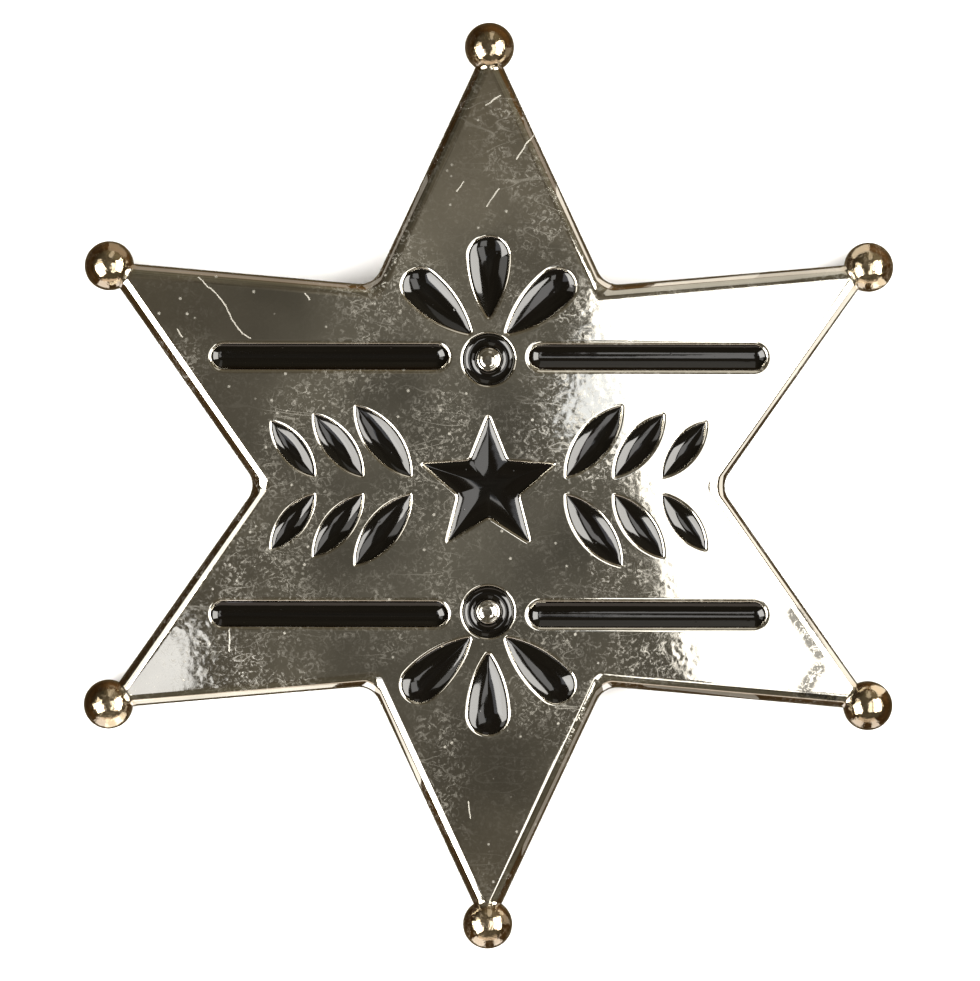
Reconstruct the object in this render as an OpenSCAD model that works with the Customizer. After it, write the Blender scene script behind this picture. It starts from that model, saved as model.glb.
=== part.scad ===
// Sheriff star badge: a domed six-armed star with ball tips, black enamel cells and a pin on the back.
// Millimetres. It lies face up on its six balls: +Z is out of the face and +Y is the upper arm.

/* [Star] */
// Radius of the circle through the centres of the six balls
tip_circle_r = 35.5; // [33:0.5:40]
// Distance from the middle to the corner where two arms meet
notch_r = 18.7; // [18:0.1:20.5]
// Fillet radius in the corner where two arms meet
notch_fillet_r = 1.8; // [1:0.1:2.5]
// Width of an arm where it runs into its ball
neck_w = 2.6; // [2.4:0.1:3.2]
// Thickness of the cast plate
plate_t = 1.8; // [1.5:0.1:2.4]
// Radius of the dome that the face and the back follow
dome_r = 200; // [170:5:260]
// Width of the sloping band round the face
rim_w = 1.2; // [0.6:0.1:1.4]
// How far the sloping band drops from the face to the outer edge
rim_drop = 0.6; // [0.3:0.05:0.9]
// Radius in the valley where the bands of two arms meet
rim_valley_r = 0.5; // [0.45:0.05:0.8]

/* [Ball tips] */
// Diameter of a ball
ball_d = 4.0; // [3.6:0.1:4.8]
// Diameter of the small flat on the back of a ball, where the badge rests
ball_flat_d = 1.5; // [1:0.1:2]

/* [Enamel cells] */
// Depth of a cell below the face
cell_depth = 0.8; // [0.4:0.05:1]
// How far the enamel lies below the face
enamel_sink = 0.12; // [0.05:0.01:0.3]
// Gap between the enamel and the metal round and under it
enamel_gap = 0.03; // [0.02:0.01:0.06]

/* [Bars] */
// Distance from the middle line of the badge to the inner end of a bar
bar_start_x = 3.3; // [3:0.1:4.2]
// Length of a bar
bar_l = 19.1; // [14:0.1:20]
// Width of a bar
bar_w = 2.0; // [1.4:0.1:2.4]
// Height of a bar's middle line above or below the badge's middle
bar_y = 10.4; // [10:0.1:11]

/* [Rings] */
// Distance of a ring's middle from the badge's middle
ring_y = 10.2; // [10:0.1:10.8]
// Outer radius of the enamel in a ring
ring_r = 2.1; // [1.7:0.05:2.3]
// Radius of the metal boss in the middle of a ring
boss_r = 0.97; // [0.6:0.05:1.1]
// How far the round top of the boss stands above the face
boss_rise = 0.15; // [0.05:0.05:0.4]

/* [Petals] */
// Bare metal between a ring and the tip of its middle petal
mid_petal_gap = 1.5; // [0.9:0.1:1.7]
// Length of a middle petal from its tip to the centre of its round end
mid_petal_l = 4.7; // [4:0.1:5.4]
// Radius of a middle petal's round end
mid_petal_r = 1.6; // [1.3:0.05:1.7]
// Bare metal between a ring and the tip of a side petal
side_petal_gap = 0.7; // [0.5:0.05:0.9]
// Length of a side petal from its tip to the centre of its round end
side_petal_l = 5.3; // [4.5:0.1:5.6]
// Radius of a side petal's round end
side_petal_r = 1.45; // [1.1:0.05:1.5]
// Bearing of a side petal's tip, seen from the ring, off the badge's middle line
side_petal_bearing = 36; // [34:1:42]
// Lean of a side petal off the badge's middle line
side_petal_lean = 47; // [45:1:50]
// Radius at the tip of a petal
petal_tip_r = 0.15; // [0.1:0.01:0.25]
// Radius of the arcs that are the sides of a petal
petal_side_r = 9; // [8.5:0.5:14]

/* [Centre star] */
// Radius through the five points of the centre star
centre_star_r = 5.6; // [4.5:0.1:5.8]
// Radius through the five corners between its points
centre_star_waist_r = 2.45; // [2:0.05:2.8]

/* [Laurel sprays] */
// Bare metal between a point of the centre star and the foot of the first leaf
spray_gap = 0.7; // [0.5:0.05:0.9]
// Distance from one leaf's foot to the next along a spray
leaf_pitch = 3.9; // [3.8:0.05:4.1]
// Half the width of the bare stem between a spray's upper and lower leaves
stem_half_w = 0.75; // [0.6:0.05:1]
// Length of the first leaf of a spray
leaf_l = 7.2; // [6:0.1:7.4]
// Width of the first leaf of a spray
leaf_w = 2.5; // [1.8:0.05:2.6]
// Size of each next leaf as a share of the one before it
leaf_share = 0.88; // [0.8:0.01:0.92]
// Angle of a leaf off its spray's stem
leaf_lean = 52; // [50:1:58]

/* [Pin clasp] */
// Height of the pin's middle line above the badge's middle
pin_y = 3.5; // [0:0.5:5]
// Length of the strip that carries the pin
pin_strip_l = 28; // [26:0.5:30]
// Width of the strip
pin_strip_w = 4; // [3.6:0.1:4.6]
// Thickness of the strip
pin_strip_t = 0.7; // [0.5:0.05:0.8]
// Diameter of the pin wire
pin_wire_d = 0.9; // [0.7:0.05:1.1]
// Length of the wire's point beyond the catch
pin_point_l = 1.6; // [1:0.1:3]
// Diameter at the end of the point
pin_point_d = 0.2; // [0.1:0.05:0.4]
// Diameter of the hinge barrel and of the catch barrel
pin_barrel_d = 2.4; // [2.1:0.1:2.6]
// Length of the hinge barrel and of the catch barrel
pin_barrel_l = 3; // [2.4:0.1:3.4]
// Width of the ear between a barrel and the strip
pin_ear_w = 1.8; // [1.4:0.1:2]
// Height of the barrels above the surface that the badge lies on
pin_clear = 0.3; // [0.2:0.05:0.4]

/* [Rivets] */
// Diameter of the cast studs that hold the strip
stud_d = 1.6; // [1.2:0.1:2]
// Distance from the pin's middle to a stud
stud_x = 8; // [6:0.5:9]
// Diameter of a stud's peened head
stud_head_d = 2.8; // [2.4:0.1:3.2]
// Thickness of a stud's peened head
stud_head_t = 0.4; // [0.3:0.05:0.5]
// Gap between the strip and the metal round it
strip_gap = 0.05; // [0.03:0.01:0.08]

/* [Hidden] */
$fn = 96;
DOME_FN = 360; // sides of the great circle of the dome, so that its facets stay under 0.01 mm
ARMS = 6;
ARM_STEP = 360 / ARMS;
METAL = "#8f8c84";
STEEL = "#a9a9a6";
ENAMEL = "#15110f";
CLEAR = 1; // how far a cut runs on past what it cuts
// Where a straight side runs into an arc it is set this far inside the tangent, so that the two cross
TUCK = 0.002;
// The rim's cuts stop this many degrees short of each corner, where the valley takes over
VALLEY_HALF = 0.3;
// How far the valley's floor lies below the line where the two bands would meet
VALLEY_SINK = 0.03;

// Heights: the flats of the balls lie at z = 0, and the middle of the plate meets each ball's centre
ball_r = ball_d / 2;
ball_z = sqrt(ball_r ^ 2 - (ball_flat_d / 2) ^ 2);
dome_z = ball_z + plate_t / 2 - sqrt(dome_r ^ 2 - tip_circle_r ^ 2);

// Reaches past the whole badge, sideways and upwards
far = 1.5 * (tip_circle_r + ball_r);
tall = dome_z + dome_r + ball_d;

// An arm lies along +X. Its upper edge runs from the notch to the neck at the ball
notch = notch_r * [cos(ARM_STEP / 2), sin(ARM_STEP / 2)];
neck = [tip_circle_r - ball_r, neck_w / 2];
edge_turn = atan2(neck.y - notch.y, neck.x - notch.x);
arm_end_x = tip_circle_r - ball_r / 2;
arm_end_half_w = neck.y + (arm_end_x - neck.x) * tan(edge_turn);
// Bearing of the edge's normal and the edge's distance from the middle
edge_bearing = 90 + edge_turn;
edge_dist = notch.x * cos(edge_bearing) + notch.y * sin(edge_bearing);
// The notch opens by this half angle on each side of its own bearing
notch_half = ARM_STEP / 2 - edge_turn;

// Columns of a cell's row: its name, what shape it is, where its origin is, how it is turned, its sizes
NAME = 0;
SHAPE = 1;
AT = 2;
TURN = 3;
SIZES = 4;

UP_DOWN = [["upper", 1], ["lower", -1]];
LEFT_RIGHT = [["left", -1], ["right", 1]];

bar_cells = [for (v = UP_DOWN, h = LEFT_RIGHT)
    [str("bar_", v[0], "_", h[0]), "bar",
        [h[1] * (bar_start_x + bar_l / 2), v[1] * bar_y], 0, [bar_l, bar_w]]];

ring_cells = [for (v = UP_DOWN)
    [str("ring_", v[0]), "ring", [0, v[1] * ring_y], 0, [ring_r, boss_r]]];

// A middle petal points straight away from its ring, and a side petal leans out
function petal_tip(away, bearing, up) =
    [0, up * ring_y] + (ring_r + away) * [sin(bearing), up * cos(bearing)];
mid_petal_cells = [for (v = UP_DOWN)
    [str("petal_", v[0], "_middle"), "petal", petal_tip(mid_petal_gap, 0, v[1]), 90 * v[1],
        [mid_petal_l, mid_petal_r]]];
side_petal_cells = [for (v = UP_DOWN, h = LEFT_RIGHT)
    [str("petal_", v[0], "_", h[0]), "petal",
        petal_tip(side_petal_gap, h[1] * side_petal_bearing, v[1]),
        v[1] * (90 - h[1] * side_petal_lean), [side_petal_l, side_petal_r]]];

centre_cells = [["centre_star", "star", [0, 0], 90, [centre_star_r, centre_star_waist_r]]];

// Leaves stand in pairs along a stem, each pair smaller than the one before
LEAF_ROWS = 3;
leaf_cells = [for (h = LEFT_RIGHT, v = UP_DOWN, i = [0 : LEAF_ROWS - 1])
    let (share = leaf_share ^ i, lean = v[1] * leaf_lean)
    [str("leaf_", v[0], "_", h[0], "_", i + 1), "leaf",
        [h[1] * (centre_star_r + spray_gap + i * leaf_pitch), v[1] * stem_half_w],
        h[1] > 0 ? lean : 180 - lean, share * [leaf_l, leaf_w]]];

CELLS = concat(bar_cells, ring_cells, mid_petal_cells, side_petal_cells, centre_cells, leaf_cells);

// Dome: everything under the front of the dome, lowered by a depth measured square to it
module under_dome(depth = 0) {
    translate([0, 0, dome_z]) rotate([90, 0, 0]) sphere(r = dome_r - depth, $fn = DOME_FN);
}

// Layer of the dome between two depths under the face, over a plan outline
module dome_layer(from_depth, to_depth) {
    difference() {
        intersection() {
            linear_extrude(height = tall) children();
            under_dome(from_depth);
        }
        under_dome(to_depth);
    }
}

// Plan outlines, each drawn smaller all round by inset
module bar_outline(sizes, inset) {
    r = sizes[1] / 2 - inset;
    half_l = (sizes[0] - sizes[1]) / 2;
    square([2 * half_l, 2 * r], center = true);
    for (side = [-1, 1]) translate([side * half_l, 0]) circle(r = r);
}

module ring_outline(sizes, inset) {
    difference() {
        circle(r = sizes[0] - inset);
        circle(r = sizes[1] + inset);
    }
}

// Petal: a small circle at its tip and a large one at its round end, joined by two bulging arcs that
// touch them both
module petal_outline(sizes, inset) {
    tip_r = petal_tip_r - inset;
    end_r = sizes[1] - inset;
    to_tip = petal_side_r - petal_tip_r;
    to_end = petal_side_r - sizes[1];
    arc_x = (sizes[0] ^ 2 + to_tip ^ 2 - to_end ^ 2) / (2 * sizes[0]);
    arc_y = sqrt(to_tip ^ 2 - arc_x ^ 2);
    start_x = -tip_r * arc_x / to_tip;
    stop_x = sizes[0] + end_r * (sizes[0] - arc_x) / to_end;
    circle(r = tip_r);
    translate([sizes[0], 0]) circle(r = end_r);
    intersection() {
        lens(arc_x, arc_y, petal_side_r - inset - TUCK);
        translate([start_x, -petal_side_r]) square([stop_x - start_x, 2 * petal_side_r]);
    }
}

// Lens: where two circles overlap whose centres lie on either side of the middle line
module lens(x, y, r) {
    intersection_for (side = [-1, 1]) translate([x, side * y]) circle(r = r, $fn = 4 * $fn);
}

// Star: an inset moves every edge in by the same step, which is a smaller star of the same shape
module star_outline(sizes, inset) {
    points = 5;
    half = 180 / points;
    waist = sizes[1] * [cos(half), sin(half)];
    edge = sizes[0] * waist.y / norm([sizes[0], 0] - waist);
    scale_in = (edge - inset) / edge;
    polygon(scale_in * [for (i = [0 : 2 * points - 1]) sizes[i % 2] * [cos(i * half), sin(i * half)]]);
}

// Leaf: where two circles overlap, with its foot at the origin and its tip along +X
module leaf_outline(sizes, inset) {
    r = (sizes[0] ^ 2 + sizes[1] ^ 2) / (4 * sizes[1]);
    lens(sizes[0] / 2, r - sizes[1] / 2, r - inset);
}

module cell_outline(cell, inset = 0) {
    translate(cell[AT]) rotate(cell[TURN]) {
        if (cell[SHAPE] == "bar") bar_outline(cell[SIZES], inset);
        if (cell[SHAPE] == "ring") ring_outline(cell[SIZES], inset);
        if (cell[SHAPE] == "petal") petal_outline(cell[SIZES], inset);
        if (cell[SHAPE] == "star") star_outline(cell[SIZES], inset);
        if (cell[SHAPE] == "leaf") leaf_outline(cell[SIZES], inset);
    }
}

// Star outline: six arms, with the corner between each two hollowed by a fillet
module star_plan() {
    reach = notch_fillet_r / tan(notch_half);
    fillet_start = notch + reach * [cos(edge_turn), sin(edge_turn)];
    arm = [
        [fillet_start.x, -fillet_start.y], [arm_end_x, -arm_end_half_w],
        [arm_end_x, arm_end_half_w], fillet_start
    ];
    difference() {
        polygon([for (i = [0 : ARMS - 1], p = arm)
            let (turn = 90 + i * ARM_STEP)
            [p.x * cos(turn) - p.y * sin(turn), p.x * sin(turn) + p.y * cos(turn)]]);
        for (i = [0 : ARMS - 1]) rotate(90 + (i + 0.5) * ARM_STEP)
            translate([notch_r + notch_fillet_r / sin(notch_half), 0])
                circle(r = notch_fillet_r + TUCK);
    }
}

// Rim cutter: what lies above the sloping band along the upper edge of an arm. The band is part of a
// cone whose axis passes through the dome's centre, so it keeps its width and slope along the edge.
module rim_cutter() {
    sweep = 2 * asin(far / dome_r);
    inner = [sqrt(dome_r ^ 2 - (edge_dist - rim_w) ^ 2), edge_dist - rim_w];
    edge = [sqrt(dome_r ^ 2 - edge_dist ^ 2) - rim_drop, edge_dist];
    along = (edge - inner) / norm(edge - inner);
    high = inner - along * CLEAR / 2;
    low = edge + along * 2 * CLEAR;
    clear_r = dome_r + 2 * CLEAR;
    translate([0, 0, dome_z]) rotate(edge_bearing - 180) rotate([0, -90, 0]) rotate(-sweep / 2)
        rotate_extrude(angle = sweep, $fn = DOME_FN)
            polygon([high, [clear_r, high.y], [clear_r, low.y], low]);
}

// Both bands of an arm, as far as the valleys in the corners beside it
module arm_rim_cutter() {
    half = ARM_STEP / 2 - VALLEY_HALF;
    corner = far * [cos(half), sin(half)];
    intersection() {
        union() {
            rim_cutter();
            mirror([0, 1, 0]) rim_cutter();
        }
        linear_extrude(height = tall) polygon([[0, 0], [corner.x, -corner.y], corner]);
    }
}

// Valley cutter: a round groove along the line on which the bands of two neighbouring arms meet
module valley_cutter() {
    inner_r = notch_r - rim_w / sin(notch_half);
    inner_z = dome_z + sqrt(dome_r ^ 2 - inner_r ^ 2);
    notch_z = dome_z + sqrt(dome_r ^ 2 - notch_r ^ 2) - rim_drop;
    slope = atan2(inner_z - notch_z, notch_r - inner_r);
    reach = norm([notch_r - inner_r, inner_z - notch_z]) + notch_fillet_r + CLEAR;
    translate([inner_r, 0, inner_z]) rotate([0, 90 + slope, 0])
        translate([VALLEY_SINK - rim_valley_r, 0, -2 * CLEAR])
            cylinder(r = rim_valley_r, h = reach + 2 * CLEAR);
}

module balls() {
    intersection() {
        for (i = [0 : ARMS - 1]) rotate(90 + i * ARM_STEP)
            translate([tip_circle_r, 0, ball_z]) sphere(r = ball_r);
        linear_extrude(height = tall) circle(r = far);
    }
}

// Boss: the round top of the metal in the middle of a ring
module bosses() {
    cap_r = (boss_r ^ 2 + boss_rise ^ 2) / (2 * boss_rise);
    face_z = dome_z + sqrt(dome_r ^ 2 - ring_y ^ 2);
    for (side = [-1, 1]) translate([0, side * ring_y, 0]) intersection() {
        translate([0, 0, face_z + boss_rise - cap_r]) sphere(r = cap_r);
        translate([0, 0, face_z - cell_depth]) cylinder(r = boss_r, h = tall);
    }
}

// Depths under the face of the strip's top, its underside and the undersides of the rivet heads
strip_top = plate_t + strip_gap;
strip_under = strip_top + pin_strip_t;
head_top = strip_under + strip_gap;
head_under = head_top + stud_head_t;

module at_studs() {
    for (side = [-1, 1]) translate([side * stud_x, pin_y]) children();
}

module studs() {
    dome_layer(plate_t / 2, head_under) at_studs() circle(d = stud_d);
    dome_layer(head_top, head_under) at_studs() circle(d = stud_head_d);
}

module star_body() color(METAL) {
    difference() {
        dome_layer(0, plate_t) star_plan();
        for (i = [0 : ARMS - 1]) rotate(90 + i * ARM_STEP) {
            arm_rim_cutter();
            rotate(ARM_STEP / 2) valley_cutter();
        }
        dome_layer(-CLEAR, cell_depth) for (cell = CELLS) cell_outline(cell);
    }
    bosses();
    balls();
    studs();
}

module enamel(cell) color(ENAMEL)
    dome_layer(enamel_sink, cell_depth - enamel_gap) cell_outline(cell, enamel_gap);

// Pin clasp: a strip bent to the dome, with a hinge barrel and a catch barrel that the wire joins
pin_z = pin_clear + pin_barrel_d / 2;
barrel_x = (pin_strip_l - pin_barrel_l) / 2;
catch_end_x = pin_strip_l / 2;

module pin_strip() {
    difference() {
        dome_layer(strip_top, strip_under) translate([0, pin_y])
            square([pin_strip_l, pin_strip_w], center = true);
        linear_extrude(height = tall) at_studs() circle(r = stud_d / 2 + strip_gap);
    }
}

// Barrel with the ear that carries it, a web up into the middle of the strip
module pin_barrel() {
    translate([0, pin_y, pin_z]) rotate([0, 90, 0])
        cylinder(d = pin_barrel_d, h = pin_barrel_l, center = true);
    translate([-pin_barrel_l / 2, pin_y - pin_ear_w / 2, pin_z]) cube([pin_barrel_l, pin_ear_w, tall]);
}

module pin_wire() {
    translate([-barrel_x, pin_y, pin_z]) rotate([0, 90, 0])
        cylinder(d = pin_wire_d, h = barrel_x + catch_end_x);
    translate([catch_end_x, pin_y, pin_z]) rotate([0, 90, 0])
        cylinder(d1 = pin_wire_d, d2 = pin_point_d, h = pin_point_l);
}

module pin_clasp() color(STEEL) {
    pin_strip();
    intersection() {
        for (side = [-1, 1]) translate([side * barrel_x, 0, 0]) pin_barrel();
        under_dome((strip_top + strip_under) / 2);
    }
    pin_wire();
}

star_body();
pin_clasp();
for (cell = CELLS) enamel(cell);
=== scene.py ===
"""Sheriff star badge: a domed six-armed casting with ball tips, black enamel in sunk cells and a pin.

The badge lies face up on its six balls, as it was packed: +Z is out of the face, +Y is the upper arm.
Each section below is one piece or group of like pieces, with its sizes in millimetres.
"""
import math

import bmesh
import bpy
from mathutils import Matrix, Vector


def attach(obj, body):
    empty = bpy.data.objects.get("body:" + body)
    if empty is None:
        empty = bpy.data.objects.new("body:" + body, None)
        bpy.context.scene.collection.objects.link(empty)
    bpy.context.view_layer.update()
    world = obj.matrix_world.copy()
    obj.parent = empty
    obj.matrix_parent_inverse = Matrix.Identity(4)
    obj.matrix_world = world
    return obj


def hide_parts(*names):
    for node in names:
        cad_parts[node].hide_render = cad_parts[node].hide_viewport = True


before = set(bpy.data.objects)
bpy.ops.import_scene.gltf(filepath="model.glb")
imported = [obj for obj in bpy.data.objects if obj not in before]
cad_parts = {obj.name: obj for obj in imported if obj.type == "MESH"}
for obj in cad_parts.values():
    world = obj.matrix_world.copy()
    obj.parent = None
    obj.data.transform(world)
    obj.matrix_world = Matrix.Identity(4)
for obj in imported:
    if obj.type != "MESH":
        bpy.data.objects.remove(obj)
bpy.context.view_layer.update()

# Camera
# A long lens straight above the badge, as for a catalogue picture. The badge fills the frame from
# ball to ball, and the camera is rolled a hair, because the badge lies turned by that much.
MM = 0.001
CAMERA_HEIGHT = 1500
BALLS_HEIGHT = 2
FRAME_WIDTH = 79.43  # width of the picture at the height of the balls
SENSOR_WIDTH = 36
AIM = (0.12, -0.39)
CAMERA_ROLL = math.radians(0.12)

camera_data = bpy.data.cameras.new("camera")
camera_data.sensor_width = SENSOR_WIDTH
camera_data.lens = SENSOR_WIDTH * (CAMERA_HEIGHT - BALLS_HEIGHT) / FRAME_WIDTH
camera_data.clip_start = 0.01
camera = bpy.data.objects.new("camera", camera_data)
camera.location = (AIM[0] * MM, AIM[1] * MM, CAMERA_HEIGHT * MM)
camera.rotation_euler = (0, 0, CAMERA_ROLL)
bpy.context.collection.objects.link(camera)
bpy.context.scene.camera = camera
bpy.context.scene.view_settings.view_transform = "Standard"
bpy.context.scene.view_settings.look = "None"


# Floor
# A matt white sweep of paper under the badge. It keeps out of the metal's reflections, where the
# real badge mirrors the dark room at its edges.
def srgb(hex_colour):
    """The linear colour, with alpha, of an sRGB hex value such as 8f8c84."""
    parts = [int(hex_colour[i:i + 2], 16) / 255 for i in (0, 2, 4)]
    return [c / 12.92 if c <= 0.04045 else ((c + 0.055) / 1.055) ** 2.4 for c in parts] + [1.0]


def new_material(name):
    """An empty node material, and its output."""
    material = bpy.data.materials.new(name)
    material.use_nodes = True
    material.node_tree.nodes.clear()
    return material, material.node_tree.nodes.new("ShaderNodeOutputMaterial")


def add_node(material, kind, settings=None, inputs=None):
    """Add a node. An input that is a node takes its first output, and a pair names the output."""
    tree = material.node_tree
    node = tree.nodes.new(kind)
    for key, value in (settings or {}).items():
        setattr(node, key, value)
    for key, value in (inputs or {}).items():
        if isinstance(value, bpy.types.Node):
            tree.links.new(value.outputs[0], node.inputs[key])
        elif isinstance(value, tuple) and isinstance(value[0], bpy.types.Node):
            tree.links.new(value[0].outputs[value[1]], node.inputs[key])
        else:
            node.inputs[key].default_value = value
    return node


SHARP = 0.9  # edges that turn by more than this, about 50 degrees, stay crisp


def finish_mesh(bm, name, material):
    """Turn a bmesh in millimetres into an object in metres, smooth but for its sharp edges."""
    for edge in bm.edges:
        edge.smooth = edge.calc_face_angle(0) < SHARP
    for face in bm.faces:
        face.smooth = True
    bmesh.ops.scale(bm, vec=(MM, MM, MM), verts=bm.verts)
    mesh = bpy.data.meshes.new(name)
    bm.to_mesh(mesh)
    bm.free()
    mesh.materials.append(material)
    piece = bpy.data.objects.new(name, mesh)
    bpy.context.collection.objects.link(piece)
    return piece


# Matt paper gives an even white, with a fine grain and hardly any gloss
paper, paper_out = new_material("matt_white_paper")
paper_grain = add_node(paper, "ShaderNodeTexNoise", inputs={
    "Vector": (add_node(paper, "ShaderNodeTexCoord"), "Object"), "Scale": 900.0, "Detail": 3.0})
paper_bump = add_node(paper, "ShaderNodeBump", inputs={
    "Strength": 0.1, "Distance": 0.00005, "Height": paper_grain})
paper_shader = add_node(paper, "ShaderNodeBsdfPrincipled", inputs={
    "Base Color": srgb("efefef"), "Roughness": 0.9, "Specular IOR Level": 0.2, "Normal": paper_bump})
paper.node_tree.links.new(paper_shader.outputs[0], paper_out.inputs["Surface"])

FLOOR_HALF = 1500
floor_bm = bmesh.new()
bmesh.ops.create_grid(floor_bm, x_segments=2, y_segments=2, size=FLOOR_HALF)
floor = finish_mesh(floor_bm, "floor", paper)
floor.visible_glossy = False

# Light
# A dim warm room with white cards, which the metal mirrors: one close by on the right, whose slanting
# edge shows on the domed face, low ones on both sides, and others in front and at the back. The
# paper is lit by a wide soft box overhead, which is kept out of the reflections.
world = bpy.data.worlds.new("dim_room")
world.use_nodes = True
world.node_tree.nodes.clear()
room = (add_node(world, "ShaderNodeTexCoord"), "Generated")
height = add_node(world, "ShaderNodeSeparateXYZ", inputs={"Vector": room})
room_tone = add_node(world, "ShaderNodeValToRGB", inputs={
    "Fac": add_node(world, "ShaderNodeMapRange", inputs={
        "Value": (height, "Z"), "From Min": -1.0, "From Max": 1.0})})
steps = room_tone.color_ramp.elements
steps[0].position, steps[0].color = 0.0, srgb("6e6552")
steps[1].position, steps[1].color = 1.0, srgb("6d6a62")
for position, colour in ((0.2, "4a3720"), (0.42, "594327"), (0.56, "48341b"), (0.67, "5f5848"),
                         (0.85, "686253"), (0.965, "615a4d")):
    steps.new(position).color = srgb(colour)
shadows = add_node(world, "ShaderNodeTexNoise", inputs={
    "Vector": add_node(world, "ShaderNodeVectorMath", {"operation": "ADD"}, {
        0: room, 1: (-0.4, 1.9, 3.4)}), "Scale": 10.0, "Detail": 2.0})
strength = add_node(world, "ShaderNodeMapRange", inputs={
    "Value": shadows, "From Min": 0.34, "From Max": 0.66, "To Min": 0.75, "To Max": 1.3})
# The room is lighter low down at the back on the right, and overhead at the back, and darker at the
# back on the left
for side, start, end, share in (((0.5, 0.87, 0), 0.5, 0.95, 2.2), ((-0.87, 0.5, 0), 0.5, 0.85, 0.6),
                                ((0.04, 0.28, 0.96), 0.975, 0.994, 1.4)):
    toward = add_node(world, "ShaderNodeVectorMath", {"operation": "DOT_PRODUCT"}, {0: room, 1: side})
    strength = add_node(world, "ShaderNodeMath", {"operation": "MULTIPLY"}, {
        0: strength, 1: add_node(world, "ShaderNodeMapRange", inputs={
            "Value": (toward, "Value"), "From Min": start, "From Max": end, "To Min": 1.0,
            "To Max": share})})
background = add_node(world, "ShaderNodeBackground", inputs={"Color": room_tone, "Strength": strength})
add_node(world, "ShaderNodeOutputWorld", inputs={"Surface": background})
bpy.context.scene.world = world


def soft_light(name, centre, size, aim, radiance, colour="ffffff", roll=0.0):
    """A rectangular soft light, with its places and size in millimetres and its roll in degrees."""
    data = bpy.data.lights.new(name, "AREA")
    data.shape = "RECTANGLE"
    data.size = size[0] * MM
    data.size_y = size[1] * MM
    data.color = srgb(colour)[:3]
    data.energy = radiance * math.pi * data.size * data.size_y
    light = bpy.data.objects.new(name, data)
    turn = (Vector(centre) - Vector(aim)).to_track_quat("Z", "Y").to_matrix().to_4x4()
    light.matrix_world = (Matrix.Translation(Vector(centre) * MM) @ turn
                          @ Matrix.Rotation(math.radians(roll), 4, "Z"))
    light.visible_camera = False
    bpy.context.collection.objects.link(light)
    return light


paper_light = soft_light("paper_light", (0, 0, 900), (1500, 1500), (0, 0, 0), 1.4)
paper_light.visible_glossy = False
soft_light("right_card", (136.0, -5.6, 400), (135, 222), (136.0, -5.6, 0), 3.0, "fffdfa", roll=15)
soft_light("middle_card", (53.8, 47.8, 400), (32, 57.6), (53.8, 47.8, 0), 1.35, "eef4ff", roll=-17)
soft_light("front_right_card", (105, -180, 400), (120, 100), (105, -180, 0), 3.0, "fffdfa")
soft_light("low_right_card", (325, 6, 285), (393, 250), (0, 6, 0), 12.0, "fffcf6")
soft_light("left_card", (-248, -155, 400), (240, 190), (-248, -155, 0), 1.3, "f4f7ff")
soft_light("low_left_card", (-276, -112, 255), (310, 240), (0, 0, 0), 12.0, "fffcf6")
soft_light("high_left_card", (-325, 118, 300), (120, 200), (0, 0, 0), 2.0, "fffcf6")
soft_light("front_card", (0, -450, 120), (560, 120), (0, 0, 0), 1.0, "ffeee0")
soft_light("back_card", (75, 455, 300), (150, 380), (0, 0, 0), 0.6, "fffcf6")
# Two glows from below in front, as of lit paper, which the sides of the balls and the band mirror
soft_light("left_glow", (-130, -292, -90), (180, 300), (0, 0, 0), 1.5, "f6f6ff")
soft_light("right_glow", (135, -290, -90), (110, 300), (0, 0, 0), 1.5, "f6f6ff")
# Low sheets of paper close to some of the edges, which take the dark from the outside of the band
SHEET_HEIGHT = 11
for name, at, to, wide, radiance in (("right_sheet", (36, 0), (0, 0), 27, 1.6),
                                     ("front_left_sheet", (-22, -27), (-20, 0), 20, 1.6),
                                     ("back_left_sheet", (-21, 28), (-20, 0), 20, 0.3),
                                     ("back_right_sheet", (17, 29), (5, 20), 16, 0.3),
                                     ("far_back_right_sheet", (22, 28), (21, 0), 18, 1.0),
                                     ("front_right_sheet", (17, -29), (5, -20), 16, 0.35)):
    soft_light(name, (at[0], at[1], 0), (wide, SHEET_HEIGHT), (to[0], to[1], 0), radiance, "fffcf6")

# Star body
# One zinc casting: a plate domed like a watch glass, six tapering arms with a ball on each tip, a
# sloping band round its edge, cells with rolled lips for the enamel, and two rivet studs behind.
# It is drawn flat, with z as the height above the face, and is then lifted onto the dome.
TIP_CIRCLE_R = 35.5
BALL_R = 2.0
BALL_FLAT_R = 0.75
PLATE_T = 1.8
DOME_R = 200.0
BALL_Z = math.sqrt(BALL_R ** 2 - BALL_FLAT_R ** 2)
DOME_Z = BALL_Z + PLATE_T / 2 - math.sqrt(DOME_R ** 2 - TIP_CIRCLE_R ** 2)


def dome(x, y):
    """Height of the face over a point of the plan."""
    return DOME_Z + math.sqrt(DOME_R ** 2 - x * x - y * y)


def lift(bm):
    """Carry what was drawn flat onto the dome."""
    for v in bm.verts:
        v.co.z += dome(v.co.x, v.co.y)


def join(target, source):
    """Add one bmesh to another."""
    mesh = bpy.data.meshes.new("joined")
    source.to_mesh(mesh)
    source.free()
    target.from_mesh(mesh)
    bpy.data.meshes.remove(mesh)


def cut_long_edges(bm, longest=0.6):
    """Cut each edge into equal stretches, so that the outline can follow the dome."""
    for edge in bm.edges[:]:
        cuts = math.ceil(edge.calc_length() / longest) - 1
        if cuts > 0:
            bmesh.ops.subdivide_edges(bm, edges=[edge], cuts=cuts)


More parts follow.
